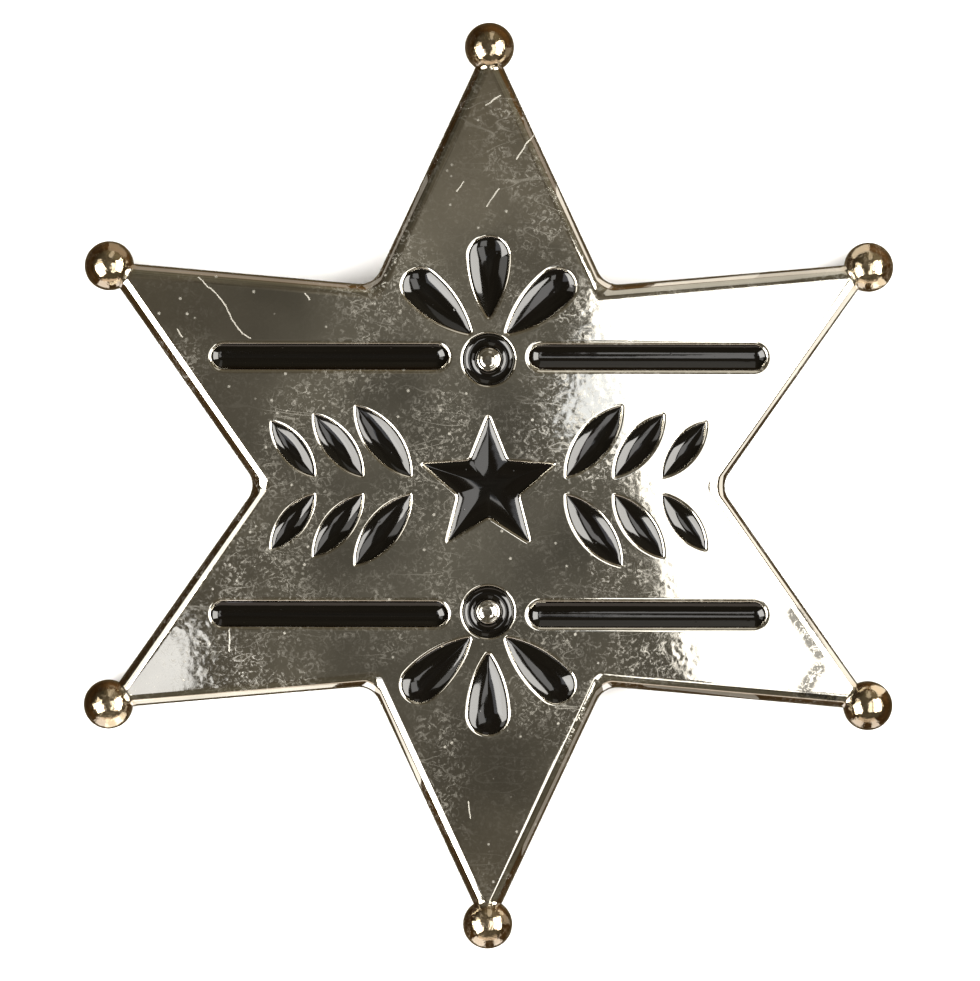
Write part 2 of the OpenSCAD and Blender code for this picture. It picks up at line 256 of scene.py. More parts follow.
# The flat outline of each kind of cell, larger all round by grow
def bar_outline(bm, sizes, grow):
    length, width = sizes
    verts = bmesh.ops.create_circle(bm, segments=40, radius=width / 2 + grow, cap_ends=True)["verts"]
    bmesh.ops.rotate(bm, verts=verts, matrix=Matrix.Rotation(math.pi / 40, 3, "Z"))
    ends = [[v for v in verts if v.co.x < 0], [v for v in verts if v.co.x > 0]]
    for side, end in zip((-1, 1), ends):
        bmesh.ops.translate(bm, verts=end, vec=(side * (length - width) / 2, 0, 0))


def ring_outline(bm, sizes, grow):
    for radius in (sizes[0] + grow, sizes[1] - grow):
        bmesh.ops.create_circle(bm, segments=72, radius=radius)
    bmesh.ops.bridge_loops(bm, edges=bm.edges[:])


PETAL_TIP_R, PETAL_SIDE_R = 0.15, 9.0


def petal_outline(bm, sizes, grow):
    """A round tip and a round end, joined by bulging arcs that are centred across the middle."""
    length, end_r = sizes
    to_tip, to_end = PETAL_SIDE_R - PETAL_TIP_R, PETAL_SIDE_R - end_r
    arc_x = (length ** 2 + to_tip ** 2 - to_end ** 2) / (2 * length)
    arc_y = math.sqrt(to_tip ** 2 - arc_x ** 2)
    tip_turn = math.atan2(arc_y, -arc_x)
    end_turn = math.atan2(arc_y, length - arc_x)
    arcs = [(Vector((length, 0)), end_r, 0, end_turn, 24),
            (Vector((arc_x, -arc_y)), PETAL_SIDE_R, end_turn, tip_turn, 14),
            (Vector((0, 0)), PETAL_TIP_R, tip_turn, math.pi, 6)]
    for centre, radius, start, stop, steps in arcs:
        at = centre + (radius + grow) * Vector((math.cos(start), math.sin(start)))
        foot = bmesh.ops.create_vert(bm, co=at.to_3d())["vert"]
        bmesh.ops.spin(bm, geom=foot, cent=centre.to_3d(), axis=(0, 0, 1), angle=stop - start,
                       steps=steps)
    bmesh.ops.mirror(bm, geom=bm.verts[:] + bm.edges[:], axis="Y", merge_dist=0.001)
    bmesh.ops.remove_doubles(bm, verts=bm.verts, dist=0.001)
    bmesh.ops.contextual_create(bm, geom=bm.edges[:])


def round_corners(bm, verts, reach):
    """Round corners of a flat outline, over the given length of their sides."""
    bmesh.ops.bevel(bm, geom=verts, offset=reach, offset_type="OFFSET", segments=6, profile=0.5,
                    affect="VERTICES", material=-1)


TIP_ROUND = 0.12  # radius of the points of the star and the leaves
WAIST_ROUND = 0.35


def star_outline(bm, sizes, grow):
    tip_r, waist_r = sizes
    half = math.pi / 5
    waist = Vector((waist_r * math.cos(half), waist_r * math.sin(half)))
    tip_half = math.atan2(waist.y, tip_r - waist.x)
    share = 1 + grow / (tip_r * math.sin(tip_half))
    bmesh.ops.create_circle(bm, segments=10, radius=1, cap_ends=True)
    tips, waists = [], []
    for v in bm.verts:
        turn = round(math.atan2(v.co.x, v.co.y) / half)
        v.co *= share * sizes[turn % 2]
        (waists if turn % 2 else tips).append(v)
    round_corners(bm, tips, (grow + TIP_ROUND) / math.tan(tip_half))
    round_corners(bm, waists, WAIST_ROUND - 0.5 * grow)


def leaf_outline(bm, sizes, grow):
    length, width = sizes
    r = (length ** 2 + width ** 2) / (4 * width)
    sag = r - width / 2
    half_l = math.sqrt((r + grow) ** 2 - sag ** 2)
    sweep = 2 * math.asin(half_l / (r + grow))
    foot = bmesh.ops.create_vert(bm, co=(length / 2 - half_l, 0, 0))["vert"]
    bmesh.ops.spin(bm, geom=foot, cent=(length / 2, -sag, 0), axis=(0, 0, -1), angle=sweep, steps=16)
    bmesh.ops.mirror(bm, geom=bm.verts[:] + bm.edges[:], axis="Y", merge_dist=0.001)
    bmesh.ops.remove_doubles(bm, verts=bm.verts, dist=0.001)
    bmesh.ops.contextual_create(bm, geom=bm.edges[:])
    tips = [v for v in bm.verts if abs(v.co.y) < 0.001]
    beside = [e.other_vert(v) for v in tips for e in v.link_edges]
    bmesh.ops.dissolve_verts(bm, verts=beside)
    round_corners(bm, tips, (grow + TIP_ROUND) / math.tan(sweep / 2))


# The cells, with where they are, how far they are turned and their sizes, as the CAD has them
STAR_SIZES = (5.6, 2.45)
RING_Y = 10.2
RING_R = 2.1
BOSS_R = 0.97
BAR_PLACE = (12.85, 10.4)
BAR_SIZES = (19.1, 2.0)
MIDDLE_PETAL_GAP = 1.5
MIDDLE_PETAL = (4.7, 1.6)
SIDE_PETAL_GAP = 0.7
SIDE_PETAL = (5.3, 1.45)
SIDE_BEARING = math.radians(36)
SIDE_LEAN = 47
LEAF_PLACE = (6.3, 0.75)
LEAF_PITCH = 3.9
LEAF_LEAN = 52
LEAF_SIZES = (7.2, 2.5)
LEAF_SHARE = 0.88  # each leaf is this much of the one before it


def petal_place(up, side, ring_gap, bearing):
    """The middle of a petal's tip, at the given gap and bearing from the ring."""
    away = (RING_R + ring_gap) * Vector((side * math.sin(bearing), up * math.cos(bearing)))
    return Vector((0, up * RING_Y)) + away


OUTLINES = {"bar": bar_outline, "ring": ring_outline, "petal": petal_outline,
            "star": star_outline, "leaf": leaf_outline}
cells = [("centre_star", "star", (0, 0), 0, STAR_SIZES)]
for up, level in ((1, "upper"), (-1, "lower")):
    cells.append((f"ring_{level}", "ring", (0, up * RING_Y), 0, (RING_R, BOSS_R)))
    cells.append((f"petal_{level}_middle", "petal", petal_place(up, 0, MIDDLE_PETAL_GAP, 0), up * 90,
                  MIDDLE_PETAL))
    for side, hand in ((1, "right"), (-1, "left")):
        cells.append((f"bar_{level}_{hand}", "bar", (side * BAR_PLACE[0], up * BAR_PLACE[1]), 0,
                      BAR_SIZES))
        cells.append((f"petal_{level}_{hand}", "petal",
                      petal_place(up, side, SIDE_PETAL_GAP, SIDE_BEARING),
                      up * (90 - side * SIDE_LEAN), SIDE_PETAL))
        for row in range(3):
            share = LEAF_SHARE ** row
            at = (side * (LEAF_PLACE[0] + LEAF_PITCH * row), up * LEAF_PLACE[1])
            turn = up * (LEAF_LEAN if side > 0 else 180 - LEAF_LEAN)
            cells.append((f"leaf_{level}_{hand}_{row + 1}", "leaf", at, turn,
                          (LEAF_SIZES[0] * share, LEAF_SIZES[1] * share)))


def sink(bm, steps):
    """Shrink the flat outline by each step's inset and lower it by the step's drop."""
    faces = bm.faces[:]
    for inset, drop in steps:
        bmesh.ops.inset_region(bm, faces=faces, thickness=inset, use_boundary=True,
                               use_even_offset=True)
        bmesh.ops.translate(bm, verts=list({v for f in faces for v in f.verts}), vec=(0, 0, -drop))


def place(bm, at, turn):
    """Turn what was drawn round the middle by some degrees, and move it to its place."""
    bmesh.ops.rotate(bm, verts=bm.verts, matrix=Matrix.Rotation(math.radians(turn), 3, "Z"))
    bmesh.ops.translate(bm, verts=bm.verts, vec=(at[0], at[1], 0))


CELL_DEPTH = 0.8
WALL_DRAFT = 0.002  # how much narrower a cell is at its floor
LIPS = {"bar": 0.4, "ring": 0.22, "petal": 0.31, "star": 0.3, "leaf": 0.28}
LIP_DROP = 0.6  # the height of a lip as a share of its width
LIP_TURNS = [math.radians(a) for a in (0, 12, 24, 36, 48, 60, 75, 90)]


def lip_steps(lip):
    """Insets and drops that follow a quarter of an oval, as wide as the lip."""
    return [(lip * (math.sin(b) - math.sin(a)), LIP_DROP * lip * (math.cos(a) - math.cos(b)))
            for a, b in zip(LIP_TURNS, LIP_TURNS[1:])]


star = bmesh.new()
for name, kind, at, turn, sizes in cells:
    pan = bmesh.new()
    lip = LIPS[kind]
    OUTLINES[kind](pan, sizes, lip)
    cut_long_edges(pan)
    sink(pan, lip_steps(lip) + [(WALL_DRAFT, CELL_DEPTH - LIP_DROP * lip)])
    place(pan, at, turn)
    join(star, pan)

# The boss in the middle of each ring is a low button that stands a little above the face
for up in (1, -1):
    boss = bmesh.new()
    bmesh.ops.create_circle(boss, segments=72, radius=BOSS_R - LIPS["ring"], cap_ends=True)
    sink(boss, [(0.1, -0.06), (0.12, -0.045), (0.15, -0.03), (0.15, -0.012)])
    place(boss, (0, up * RING_Y), 0)
    join(star, boss)

# The band round the edge. One grid follows half an arm from the notch to the neck, and its rows
# go from the face over the sloping band, down the wall and round to the back. Each row is given by
# how far it lies inside the edge, and how far below the face.
RIM = [(1.2, 0), (1.0, -0.004), (0.94, -0.01), (0.88, -0.022), (0.76, -0.052), (0.64, -0.092),
       (0.55, -0.13), (0.47, -0.175), (0.4, -0.23), (0.33, -0.305), (0.26, -0.4), (0.19, -0.52),
       (0.12, -0.67), (0.05, -0.86), (0, -1.1),
       (0, -1.3), (0, -1.55), (0.04, -1.66), (0.12, -1.76), (0.22, -PLATE_T)]
RIM_TOP_ROWS = 15
NOTCH_R = 18.7
NECK_HALF_W = 1.3
NECK_TURN = math.atan2(NOTCH_R / 2 - NECK_HALF_W,
                       TIP_CIRCLE_R - BALL_R - NOTCH_R * math.cos(math.pi / 6))
EDGE_NORMAL = Vector((math.sin(NECK_TURN), math.cos(NECK_TURN)))
EDGE_ALONG = Vector((math.cos(NECK_TURN), -math.sin(NECK_TURN)))
MITRE = Vector((math.cos(math.pi / 6), math.sin(math.pi / 6)))
NOTCH_HALF = math.pi / 6 + NECK_TURN
EDGE_R = NOTCH_R * MITRE.dot(EDGE_NORMAL)
BALL_OFF = EDGE_R - TIP_CIRCLE_R * EDGE_NORMAL.x  # the edge's distance from the ball's centre
NOTCH_FILLET_R = 1.8  # at the edge, and at the band's inner side
INNER_FILLET_R = 0.4
CORNER_COLUMNS, ARM_COLUMNS = 8, 34
CROWDING = 1.25  # draws the columns closer together towards the notch
# How far the neck's columns lie from the ball's centre
NECK_RADII = [2.6, 2.48, 2.38, 2.28, 2.19, 2.1, 2.01, 1.92, 1.83, 1.74, 1.62, 1.45]


def neck_point(inside, radius):
    """A row's point at the given distance from the ball's centre, or else the arm's middle line."""
    bearing = max(0.0, NECK_TURN + math.asin((BALL_OFF - inside) / radius))
    return Vector((TIP_CIRCLE_R - radius * math.cos(bearing), radius * math.sin(bearing)))


def rim_point(inside, column):
    """A row's point in the rounded corner of the notch, and then along the straight edge."""
    corner = MITRE * (EDGE_R - inside) / MITRE.dot(EDGE_NORMAL)
    corner_r = INNER_FILLET_R + (NOTCH_FILLET_R - INNER_FILLET_R) * (1 - inside / RIM[0][0])
    if column <= CORNER_COLUMNS:
        turn = math.pi * 7 / 6 + (math.pi / 2 - NOTCH_HALF) * column / CORNER_COLUMNS
        return (corner + MITRE * corner_r / math.sin(NOTCH_HALF)
                + corner_r * Vector((math.cos(turn), math.sin(turn))))
    start = corner + EDGE_ALONG * corner_r / math.tan(NOTCH_HALF)
    share = ((column - CORNER_COLUMNS) / ARM_COLUMNS) ** CROWDING
    return start.lerp(neck_point(inside, NECK_RADII[0]), share)


def rim_depth(point):
    """How far below the face the band lies over a point of the plan."""
    inside = EDGE_R - point.dot(EDGE_NORMAL)
    for (far, low), (near, high) in zip(RIM, RIM[1:RIM_TOP_ROWS]):
        if inside >= near:
            return low + (high - low) * max(0.0, far - inside) / (far - near) if inside < far else low
    return RIM[RIM_TOP_ROWS - 1][1]


def mapped_grid(bm, columns, rows, where):
    """A grid whose vertices are carried to where(column, row)."""
    for v in bmesh.ops.create_grid(bm, x_segments=columns, y_segments=rows, size=0.5)["verts"]:
        v.co = where(round((v.co.x + 0.5) * columns), round((v.co.y + 0.5) * rows))


def band_vertex(column, row):
    inside, depth = RIM[row]
    return rim_point(inside, column).to_3d() + Vector((0, 0, depth))


def neck_vertex(column, row):
    """Rows of the neck, with the arm's middle line before the first and after the last."""
    inside, depth = RIM[min(max(row - 1, 0), len(RIM) - 1)]
    if row in (0, len(RIM) + 1):
        point = Vector((TIP_CIRCLE_R - NECK_RADII[column], 0))
    else:
        point = neck_point(inside, NECK_RADII[column])
    return point.to_3d() + Vector((0, 0, depth if row > RIM_TOP_ROWS else rim_depth(point)))


band = bmesh.new()
mapped_grid(band, CORNER_COLUMNS + ARM_COLUMNS, len(RIM) - 1, band_vertex)
mapped_grid(band, len(NECK_RADII) - 1, len(RIM) + 1, neck_vertex)
bmesh.ops.mirror(band, geom=band.verts[:] + band.edges[:] + band.faces[:], axis="Y", merge_dist=0.001)
bmesh.ops.remove_doubles(band, verts=band.verts, dist=0.002)
bmesh.ops.rotate(band, verts=band.verts, matrix=Matrix.Rotation(math.pi / 2, 3, "Z"))
bmesh.ops.spin(band, geom=band.verts[:] + band.edges[:] + band.faces[:], cent=(0, 0, 0),
               axis=(0, 0, 1), angle=2 * math.pi, steps=6, use_duplicate=True)
join(star, band)
bmesh.ops.remove_doubles(star, verts=star.verts, dist=0.002)

# The face and the back are filled in between, and cut on a grid so that they follow the dome. The
# grid lies a little to one side, so that no line of it runs along a cell.
GRID = 2.0
GRID_SHIFT = 0.37
FLAT = 0.003


def rim_edges(bm, depth):
    """The open edges at the given depth below the face."""
    return [e for e in bm.edges
            if len(e.link_faces) == 1 and all(abs(v.co.z + depth) < FLAT for v in e.verts)]


for depth in (0, PLATE_T):
    filled = bmesh.ops.triangle_fill(star, use_beauty=True, edges=rim_edges(star, depth))["geom"]
    faces = [f for f in filled if isinstance(f, bmesh.types.BMFace)]
    geom = faces + list({e for f in faces for e in f.edges}) + list({v for f in faces for v in f.verts})
    for axis in (0, 1):
        for line in range(-18, 19):
            co = Vector((0, 0, 0))
            co[axis] = (line + GRID_SHIFT) * GRID
            no = Vector((0, 0, 0))
            no[axis] = 1
            geom = bmesh.ops.bisect_plane(star, geom=geom, dist=0.001, plane_co=co, plane_no=no)["geom"]
star.normal_update()
ends = [e for e in star.edges if len(e.link_faces) == 1]
bmesh.ops.holes_fill(star, edges=ends, sides=0)
lift(star)

# Where an arm runs into its ball, a small fillet rises from the plate to the ball, and the plate's
# end hides inside the ball
FILLET_R = 0.6
NECK_DEPTH = 0.3
HIDDEN = 0.05
for arm in range(6):
    turn = math.pi / 2 + arm * math.pi / 3
    ball = TIP_CIRCLE_R * Vector((math.cos(turn), math.sin(turn)))
    for v in star.verts:
        away = (v.co.xy - ball).length
        above = v.co.z - BALL_Z
        if away > NECK_RADII[0] - 0.01 or above < -NECK_DEPTH:
            continue
        reach = math.sqrt((BALL_R + FILLET_R) ** 2 - (above + FILLET_R) ** 2)
        touch = reach * BALL_R / (BALL_R + FILLET_R)
        if touch < away < reach:
            v.co.z += FILLET_R - math.sqrt(FILLET_R ** 2 - (reach - away) ** 2)
        elif away <= touch:
            v.co.z = BALL_Z + math.sqrt(BALL_R ** 2 - away ** 2) - HIDDEN

bmesh.ops.recalc_face_normals(star, faces=star.faces)
if star.calc_volume(signed=True) < 0:
    bmesh.ops.reverse_faces(star, faces=star.faces)

# The balls, each with the small flat that the badge rests on
for arm in range(6):
    turn = math.pi / 2 + arm * math.pi / 3
    ball = bmesh.new()
    bmesh.ops.create_icosphere(ball, subdivisions=5, radius=BALL_R)
    bmesh.ops.translate(ball, verts=ball.verts, vec=(TIP_CIRCLE_R * math.cos(turn),
                                                     TIP_CIRCLE_R * math.sin(turn), BALL_Z))
    bmesh.ops.bisect_plane(ball, geom=ball.verts[:] + ball.edges[:] + ball.faces[:], dist=0.001,
                           plane_co=(0, 0, 0), plane_no=(0, 0, 1), clear_inner=True)
    bmesh.ops.holes_fill(ball, edges=[e for e in ball.edges if len(e.link_faces) == 1], sides=0)
    join(star, ball)

# The rivet studs on the back, with their peened heads, which hold the strip of the pin
STUD_X, STUD_Y, STUD_R = 8.0, 3.5, 0.8
SHANK_L, SHANK_Z = 1.6, -2.0
HEAD_R, HEAD_T, HEAD_Z = 1.4, 0.4, -2.6
studs = bmesh.new()
for side in (-1, 1):
    shank = bmesh.ops.create_cone(studs, segments=32, radius1=STUD_R, radius2=STUD_R,
                                  depth=SHANK_L, cap_ends=True)["verts"]
    bmesh.ops.translate(studs, verts=shank, vec=(side * STUD_X, STUD_Y, SHANK_Z))
    head = bmesh.ops.create_uvsphere(studs, u_segments=40, v_segments=16, radius=1)["verts"]
    bmesh.ops.scale(studs, verts=head, vec=(HEAD_R, HEAD_R, HEAD_T))
    crown = [v for v in head if v.co.z > 0.001]
    bmesh.ops.scale(studs, verts=crown, vec=(1, 1, 0.01))
    bmesh.ops.translate(studs, verts=head, vec=(side * STUD_X, STUD_Y, HEAD_Z))
lift(studs)
join(star, studs)

# Nickel plate on die-cast zinc, bright but handled: a mirror with the faint ripple of the casting
# under it, lumpier on the balls, and dulled where it is scuffed, with specks and a few long scratches.
# The scuffs are about 0.2 mm wide, coarser than real ones, so that they show.
nickel, nickel_out = new_material("nickel_plated_zinc")
nickel_place = (add_node(nickel, "ShaderNodeTexCoord"), "Object")
ripple = add_node(nickel, "ShaderNodeTexNoise", inputs={
    "Vector": nickel_place, "Scale": 1 / 0.0012, "Detail": 4.0, "Roughness": 0.68, "Distortion": 0.5})
# 0 on the plate and 1 on the balls
on_ball = add_node(nickel, "ShaderNodeMapRange", inputs={
    "Value": (add_node(nickel, "ShaderNodeVectorMath", {"operation": "LENGTH"}, {
        "Vector": add_node(nickel, "ShaderNodeVectorMath", {"operation": "MULTIPLY"}, {
            0: nickel_place, 1: (1, 1, 0)})}), "Value"),
    "From Min": 33.3 * MM, "From Max": 34.2 * MM})

curls = add_node(nickel, "ShaderNodeTexNoise", inputs={
    "Vector": nickel_place, "Scale": 1 / 0.0005, "Detail": 3.0, "Roughness": 0.6, "Distortion": 1.6})
patches = add_node(nickel, "ShaderNodeTexNoise", inputs={
    "Vector": add_node(nickel, "ShaderNodeVectorMath", {"operation": "ADD"}, {
        0: nickel_place, 1: (-0.019, 0.060, 0.00587)}),
    "Scale": 1 / 0.008, "Detail": 3.0, "Roughness": 0.55})
worn = add_node(nickel, "ShaderNodeMapRange", inputs={
    "Value": patches, "From Min": 0.42, "From Max": 0.62, "To Min": 0.1, "To Max": 1.0})
# Marks lie in the plan and wander by a tenth of a millimetre
wander = add_node(nickel, "ShaderNodeTexNoise", inputs={
    "Vector": nickel_place, "Scale": 1 / 0.0009, "Detail": 2.0})
wandering = add_node(nickel, "ShaderNodeVectorMath", {"operation": "MULTIPLY_ADD"}, {
    0: (wander, "Color"), 1: (0.0003, 0.0003, 0), 2: nickel_place})
plan = add_node(nickel, "ShaderNodeVectorMath", {"operation": "MULTIPLY_ADD"}, {
    0: wandering, 1: (1, 1, 0), 2: (-0.00015, -0.00015, 0)})


def add_mark(marks, start, end, near, far, amount):
    """Add a mark round a line of the plan, which fades between two distances in millimetres."""
    start, end = Vector(start).to_3d() * MM, Vector(end).to_3d() * MM
    along = end - start
    from_start = add_node(nickel, "ShaderNodeVectorMath", {"operation": "SUBTRACT"}, {
        0: plan, 1: start})
    share = add_node(nickel, "ShaderNodeMath", {"operation": "MULTIPLY", "use_clamp": True}, {
        0: (add_node(nickel, "ShaderNodeVectorMath", {"operation": "DOT_PRODUCT"}, {
            0: from_start, 1: along}), "Value"), 1: 1 / along.length_squared})
    nearest = add_node(nickel, "ShaderNodeVectorMath", {"operation": "SCALE"}, {
        0: along, "Scale": share})
    away = add_node(nickel, "ShaderNodeVectorMath", {"operation": "DISTANCE"}, {
        0: from_start, 1: nearest})
    mark = add_node(nickel, "ShaderNodeMapRange", inputs={
        "Value": (away, "Value"), "From Min": near * MM, "From Max": far * MM,
        "To Min": amount, "To Max": 0.0})
    return add_node(nickel, "ShaderNodeMath", {"operation": "MAXIMUM"}, {0: marks, 1: mark})


# The upper left arm is hardly worn, and the middle of the right side is worn the most
clean = add_mark(0.0, (-29.0, 17.0), (-16.0, 13.5), 2.5, 6.0, 0.85)
worn = add_node(nickel, "ShaderNodeMath", {"operation": "MULTIPLY"}, {
    0: add_mark(worn, (12.0, -14.0), (16.0, -13.5), 0.5, 3.5, 1.0),
    1: add_node(nickel, "ShaderNodeMath", {"operation": "SUBTRACT"}, {0: 1.0, 1: clean})})
# Orange peel, which breaks up the edges of what the plate mirrors: strongest on the lower left arm
peel = add_node(nickel, "ShaderNodeTexNoise", inputs={
    "Vector": nickel_place, "Scale": 1 / 0.0008, "Detail": 1.0, "Roughness": 0.4})
peeled = add_mark(worn, (-22.3, -11.0), (-22.0, -16.4), 1.0, 2.0, 1.8)
peeled = add_mark(peeled, (-26.4, -12.1), (-23.0, -10.9), 0.3, 1.0, 1.8)
peel_bump = add_node(nickel, "ShaderNodeBump", inputs={
    "Strength": 1.0, "Height": peel, "Distance": add_node(nickel, "ShaderNodeMath", {
        "operation": "MULTIPLY"}, {0: peeled, 1: 0.000009})})
ripple_bump = add_node(nickel, "ShaderNodeBump", inputs={
    "Normal": peel_bump,
    "Strength": 1.0, "Height": ripple, "Distance": add_node(nickel, "ShaderNodeMapRange", inputs={
        "Value": on_ball, "To Min": 0.0000024, "To Max": 0.00006})})
scuffs = add_node(nickel, "ShaderNodeMath", {"operation": "MULTIPLY"}, {
    0: worn, 1: add_node(nickel, "ShaderNodeMapRange", inputs={
        "Value": curls, "From Min": 0.5, "From Max": 0.74})})
# Hairlines follow the level lines of a stretched noise
hair_noise = add_node(nickel, "ShaderNodeTexNoise", inputs={
    "Vector": add_node(nickel, "ShaderNodeMapping", inputs={
        "Vector": nickel_place, "Rotation": (0, 0, 0.9), "Scale": (0.35, 1.0, 1.0)}),
    "Scale": 1 / 0.0025, "Detail": 1.0, "Distortion": 0.8})
hair_off = add_node(nickel, "ShaderNodeMath", {"operation": "ABSOLUTE"}, {
    0: add_node(nickel, "ShaderNodeMath", {"operation": "SUBTRACT"}, {0: hair_noise, 1: 0.56})})
hairlines = add_node(nickel, "ShaderNodeMath", {"operation": "MULTIPLY"}, {
    0: worn, 1: add_node(nickel, "ShaderNodeMapRange", inputs={
        "Value": hair_off, "From Min": 0.002, "From Max": 0.007, "To Min": 0.55, "To Max": 0.0})})
speck_cells = add_node(nickel, "ShaderNodeTexVoronoi", inputs={
    "Vector": nickel_place, "Scale": 1 / 0.0016})
specks = add_node(nickel, "ShaderNodeMapRange", inputs={
    "Value": speck_cells, "From Min": 0.05, "From Max": 0.1, "To Min": 0.9, "To Max": 0.0})
wear = scuffs
for mark in (hairlines, specks):
    wear = add_node(nickel, "ShaderNodeMath", {"operation": "MAXIMUM"}, {0: wear, 1: mark})

# The long bent scratch on the upper left arm, and the short ones on that and other arms
scratches = [
    ((-23.5, 16.8), (-21.6, 15.0), (-20.5, 13.0), (-19.9, 12.2), (-19.3, 11.9)),
    ((-0.3, 30.8), (0.9, 31.6)),
    ((2.2, 26.4), (3.2, 27.9), (3.6, 28.3)),
    ((-0.2, 22.6), (0.8, 24.0)),
    ((-2.6, 23.8), (-2.1, 24.6)),
    ((-20.9, -11.6), (-20.9, -13.4)),
    ((-25.2, 12.6), (-24.7, 12.0)),
    ((-1.6, -25.6), (-1.4, -26.9)),
    ((-14.9, 15.5), (-14.5, 15.0))]
for line in scratches:
    for start, end in zip(line, line[1:]):
        wear = add_mark(wear, start, end, 0.025, 0.07, 1.8)

# A tarnished streak on the lower right arm, broken up into speckles, which mirrors much less
streak = add_mark(0.0, (24.8, -10.3), (26.8, -13.4), 0.45, 0.8, 1.0)
streak = add_mark(streak, (26.7, -14.7), (25.5, -16.5), 0.4, 0.75, 1.0)
streak = add_mark(streak, (25.9, -16.8), (28.0, -17.1), 0.1, 0.4, 1.0)
tarnish = add_node(nickel, "ShaderNodeMath", {"operation": "MULTIPLY"}, {
    0: streak, 1: add_node(nickel, "ShaderNodeMapRange", inputs={
        "Value": curls, "From Min": 0.36, "From Max": 0.5})})

metal_share = add_node(nickel, "ShaderNodeMapRange", {"clamp": False}, {
    "Value": wear, "To Min": 1.0, "To Max": 0.78})
roughness = add_node(nickel, "ShaderNodeMapRange", inputs={
    "Value": wear, "To Min": 0.05, "To Max": 0.26})
tone = add_node(nickel, "ShaderNodeValToRGB", inputs={"Fac": patches})
shades = tone.color_ramp.elements
shades[0].position, shades[0].color = 0.35, srgb("c0bcb2")
shades[1].position, shades[1].color = 0.65, srgb("d2cec3")
dulled = add_node(nickel, "ShaderNodeVectorMath", {"operation": "SCALE"}, {
    0: tone, "Scale": add_node(nickel, "ShaderNodeMapRange", inputs={
        "Value": tarnish, "To Min": 1.0, "To Max": 0.2})})
# The balls are tinted browner in their colour: a painted reflection of the brown surroundings that they
# mirror
ball_reflection_tint = add_node(nickel, "ShaderNodeMix", {"data_type": "RGBA", "blend_type": "MULTIPLY"}, {
    "Factor": on_ball, 6: dulled, 7: srgb("f4e4cc")})
nickel_shader = add_node(nickel, "ShaderNodeBsdfPrincipled", inputs={
    "Base Color": (ball_reflection_tint, 2), "Metallic": metal_share, "Roughness": roughness, "Normal": ripple_bump})
nickel.node_tree.links.new(nickel_shader.outputs[0], nickel_out.inputs["Surface"])

star_piece = finish_mesh(star, "star_casting", nickel)

# On the face and the back, the exact normals of the dome stand in for those of the facets
normals = []
for v in star_piece.data.vertices:
    front = v.co / MM - Vector((0, 0, DOME_Z))
    back = front + Vector((0, 0, PLATE_T))
    if abs(front.length - DOME_R) < 0.0002:
        normals.append(front.normalized())
    elif abs(back.length - DOME_R) < 0.0002:
        normals.append(-back.normalized())
    else:
        normals.append(Vector())
star_piece.data.normals_split_custom_set_from_vertices(normals)
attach(star_piece, "root")
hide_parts("star_body")

# Enamel
# Black epoxy enamel, dripped into each cell, where it drew up the walls and cured hollow in the
# middle. It is as glossy as wet paint, with a faint waviness and a few specks of dust.
GAP = 0.03
# How deep each kind is hollowed, and the steps of its slope as shares of the way out to the edge
HOLLOWS = {"bar": 0.42, "ring": 0.28, "petal": 0.48, "star": 0.4, "leaf": 0.4}
SMOOTHINGS = 12
SHARES = [0.985, 0.955, 0.91, 0.85, 0.77, 0.68, 0.58, 0.47, 0.35, 0.22, 0.1]


def lower(faces, edge, hollow, share):
    """Set the height of the faces, at the given share of the way out to the edge."""
    for v in {v for f in faces for v in f.verts}:
        v.co.z = edge - hollow * (1 - share ** 2)


def hollow_by_inset(bm, faces, edge, hollow, half_w):
    """Hollow the top in a cell of even width, by moving its outline in step by step."""
    inside = 0.0
    for share in SHARES:
        step = (1 - share) * half_w - inside
        inside += step
        bmesh.ops.inset_region(bm, faces=faces, thickness=step, use_boundary=True, use_even_offset=True)
        lower(faces, edge, hollow, share)


def hollow_by_scale(bm, faces, edge, hollow, centre_x):
    """Hollow the top in a cell by drawing its outline smaller and smaller about its centre."""
    about = Matrix.Translation((-centre_x, 0, 0))
    last = 1.0
    for share in SHARES:
        bmesh.ops.inset_region(bm, faces=faces, thickness=0.0001, use_boundary=True,
                               use_even_offset=True)
        verts = list({v for f in faces for v in f.verts})
        bmesh.ops.scale(bm, verts=verts, vec=(share / last, share / last, 1), space=about)
        last = share
        lower(faces, edge, hollow, share)
    inner = [v for v in bm.verts if GAP - CELL_DEPTH + 0.001 < v.co.z < edge - 0.001]
    for _ in range(SMOOTHINGS):
        bmesh.ops.smooth_vert(bm, verts=inner, factor=0.5, use_axis_z=True)


enamel, enamel_out = new_material("black_epoxy_enamel")
enamel_place = (add_node(enamel, "ShaderNodeTexCoord"), "Object")
waves = add_node(enamel, "ShaderNodeTexNoise", inputs={
    "Vector": enamel_place, "Scale": 1 / 0.0018, "Detail": 2.0})
dust = add_node(enamel, "ShaderNodeTexVoronoi", inputs={"Vector": enamel_place, "Scale": 1 / 0.0012})
speck = add_node(enamel, "ShaderNodeMapRange", inputs={
    "Value": dust, "From Min": 0.05, "From Max": 0.09, "To Min": 1.0, "To Max": 0.0})
wave_bump = add_node(enamel, "ShaderNodeBump", inputs={
    "Strength": 1.0, "Distance": 0.000012, "Height": waves})
speck_bump = add_node(enamel, "ShaderNodeBump", inputs={
    "Strength": 0.6, "Distance": 0.00001, "Height": speck, "Normal": wave_bump})
enamel_shader = add_node(enamel, "ShaderNodeBsdfPrincipled", inputs={
    "Base Color": srgb("040302"), "Roughness": 0.07, "IOR": 1.52, "Normal": speck_bump})
enamel.node_tree.links.new(enamel_shader.outputs[0], enamel_out.inputs["Surface"])

